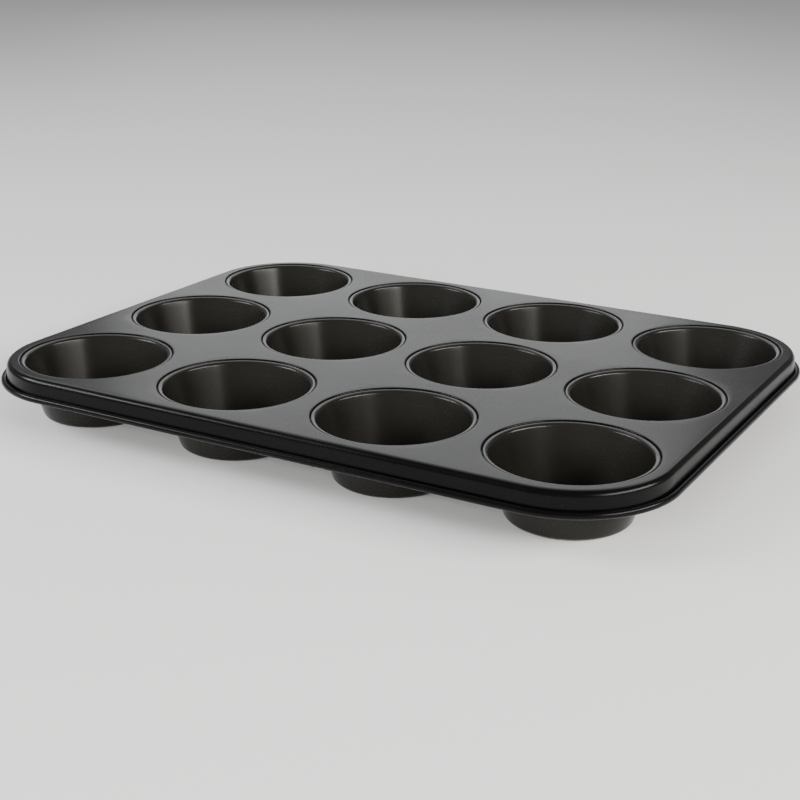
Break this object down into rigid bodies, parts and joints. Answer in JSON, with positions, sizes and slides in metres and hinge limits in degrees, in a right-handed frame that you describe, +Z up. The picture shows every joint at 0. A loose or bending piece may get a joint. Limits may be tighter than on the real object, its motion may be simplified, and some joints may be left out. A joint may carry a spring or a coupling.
{
  "type": "muffin tin",
  "caption": "Rectangular baking tin with a grid of round tapered cups seated in a flat deck with a rolled, wired rim and a dark non-stick coating.",
  "frame": {"origin": "middle of the footprint, on the plane that the cup bottoms stand on", "axes": "+X along the row of four cups, +Y from the front row to the back row, +Z up out of the cups"},
  "size_m": [0.3504, 0.2654, 0.029],
  "materials": {
    "deck_coating": "dark non-stick coating over pressed steel, semi-gloss",
    "cup_coating": "dark non-stick coating over drawn steel, semi-gloss",
    "wire_steel": "drawn steel wire"
  },
  "bodies": {
    "root": {"deck_frame": "deck_coating", "cup_r1_c1": "cup_coating", "cup_r1_c2": "cup_coating", "cup_r1_c3": "cup_coating", "cup_r1_c4": "cup_coating", "cup_r2_c1": "cup_coating", "cup_r2_c2": "cup_coating", "cup_r2_c3": "cup_coating", "cup_r2_c4": "cup_coating", "cup_r3_c1": "cup_coating", "cup_r3_c2": "cup_coating", "cup_r3_c3": "cup_coating", "cup_r3_c4": "cup_coating", "rim_wire": "wire_steel"}
  },
  "joints": []
}
